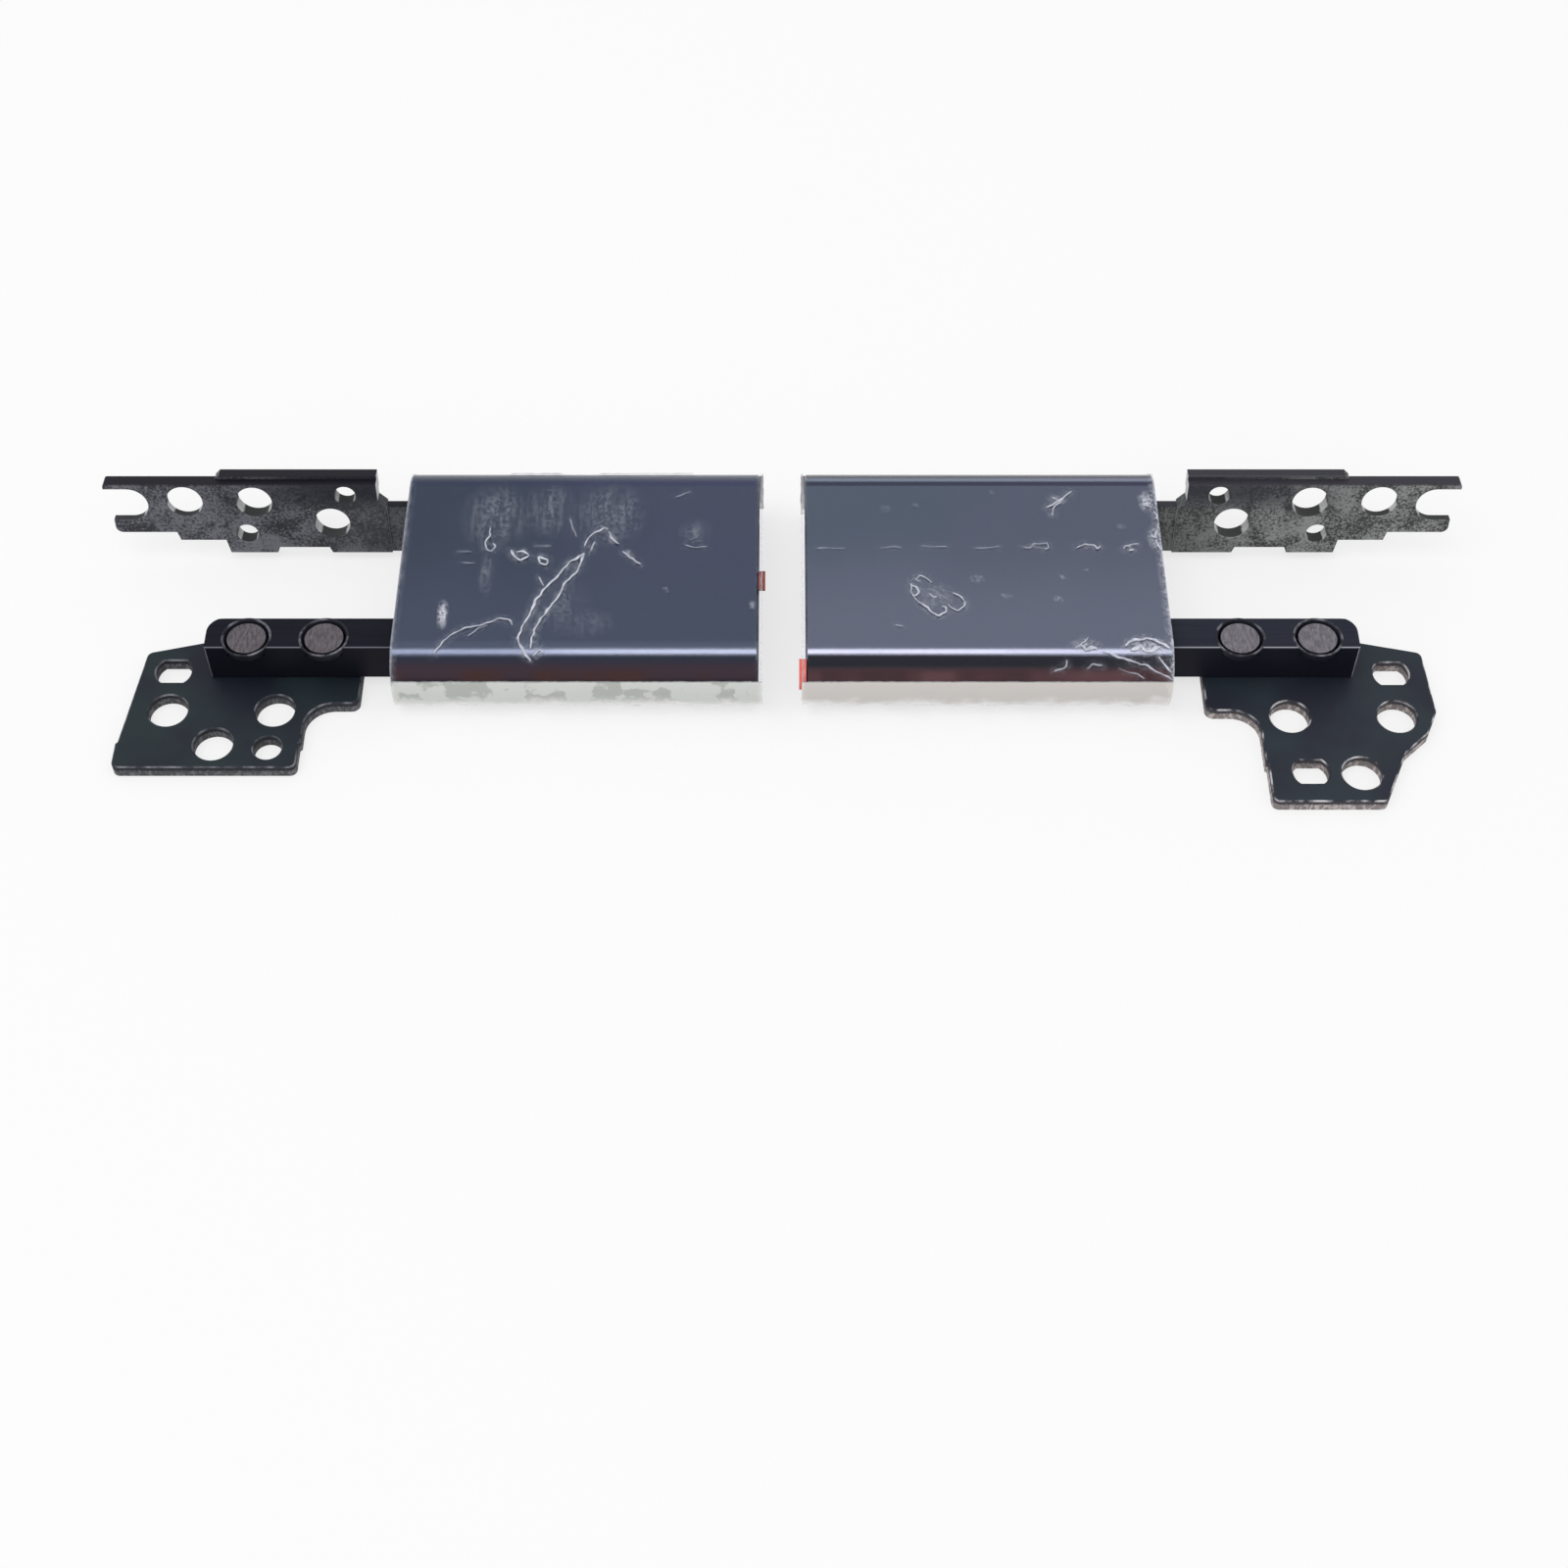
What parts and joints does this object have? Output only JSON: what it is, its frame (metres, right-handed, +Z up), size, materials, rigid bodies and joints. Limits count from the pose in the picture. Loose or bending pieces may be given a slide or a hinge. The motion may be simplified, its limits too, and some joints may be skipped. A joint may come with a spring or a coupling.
{
  "type": "laptop hinge pair",
  "caption": "Left and right two-shaft laptop hinges: flat metal sleeves with film, each with a black base plate and an upright lid bracket that turn with friction.",
  "frame": {"origin": "middle of the pair's outline, on the surface it lies on", "axes": "X along the shafts, left hinge at -X; -Y towards the base plates; +Z up"},
  "size_m": [0.0994, 0.0286, 0.0071],
  "materials": {
    "sleeve_metal": "smooth slate blue anodised",
    "clear_film": "clear wrinkled film",
    "red_tab": "thin red tape",
    "black_plastic": "fine matt",
    "inner_steel": "plain ground",
    "black_plate": "black coated steel",
    "rivet_steel": "ground flat",
    "moulded_metal": "grainy moulded dark steel"
  },
  "bodies": {
    "covers": {"left_cover": "sleeve_metal", "left_protective_film": "clear_film", "left_pull_tab": "red_tab", "left_end_cap": "black_plastic", "left_outer_carrier": "inner_steel", "left_inner_carrier": "inner_steel", "left_friction_plates": "inner_steel", "right_cover": "sleeve_metal", "right_protective_film": "clear_film", "right_pull_tab": "red_tab", "right_end_cap": "black_plastic", "right_outer_carrier": "inner_steel", "right_inner_carrier": "inner_steel", "right_friction_plates": "inner_steel"},
    "left_base": {"left_base_bracket": "black_plate", "left_base_shaft": "black_plate", "left_base_rivets": "rivet_steel", "left_base_stop_washer": "inner_steel", "left_base_pressure_washer": "inner_steel", "left_base_disc_springs": "inner_steel", "left_base_lock_nut": "inner_steel"},
    "left_lid": {"left_lid_bracket": "moulded_metal", "left_lid_stop_washer": "inner_steel", "left_lid_pressure_washer": "inner_steel", "left_lid_disc_springs": "inner_steel", "left_lid_lock_nut": "inner_steel"},
    "right_base": {"right_base_bracket": "black_plate", "right_base_shaft": "black_plate", "right_base_rivets": "rivet_steel", "right_base_stop_washer": "inner_steel", "right_base_pressure_washer": "inner_steel", "right_base_disc_springs": "inner_steel", "right_base_lock_nut": "inner_steel"},
    "right_lid": {"right_lid_bracket": "moulded_metal", "right_lid_stop_washer": "inner_steel", "right_lid_pressure_washer": "inner_steel", "right_lid_disc_springs": "inner_steel", "right_lid_lock_nut": "inner_steel"}
  },
  "joints": [
    {"name": "left_base_turn", "type": "hinge", "parent": "covers", "child": "left_base", "pos_m": [-0.0275, -0.00183, 0.00265], "axis": [1, 0, 0], "range_deg": [-90, 90]},
    {"name": "left_lid_turn", "type": "hinge", "parent": "covers", "child": "left_lid", "pos_m": [-0.0275, 0.00997, 0.00265], "axis": [1, 0, 0], "range_deg": [-171, 9]},
    {"name": "right_base_turn", "type": "hinge", "parent": "covers", "child": "right_base", "pos_m": [0.0275, -0.00183, 0.00265], "axis": [1, 0, 0], "range_deg": [-90, 90]},
    {"name": "right_lid_turn", "type": "hinge", "parent": "covers", "child": "right_lid", "pos_m": [0.0275, 0.00997, 0.00265], "axis": [1, 0, 0], "range_deg": [-171, 9]}
  ]
}
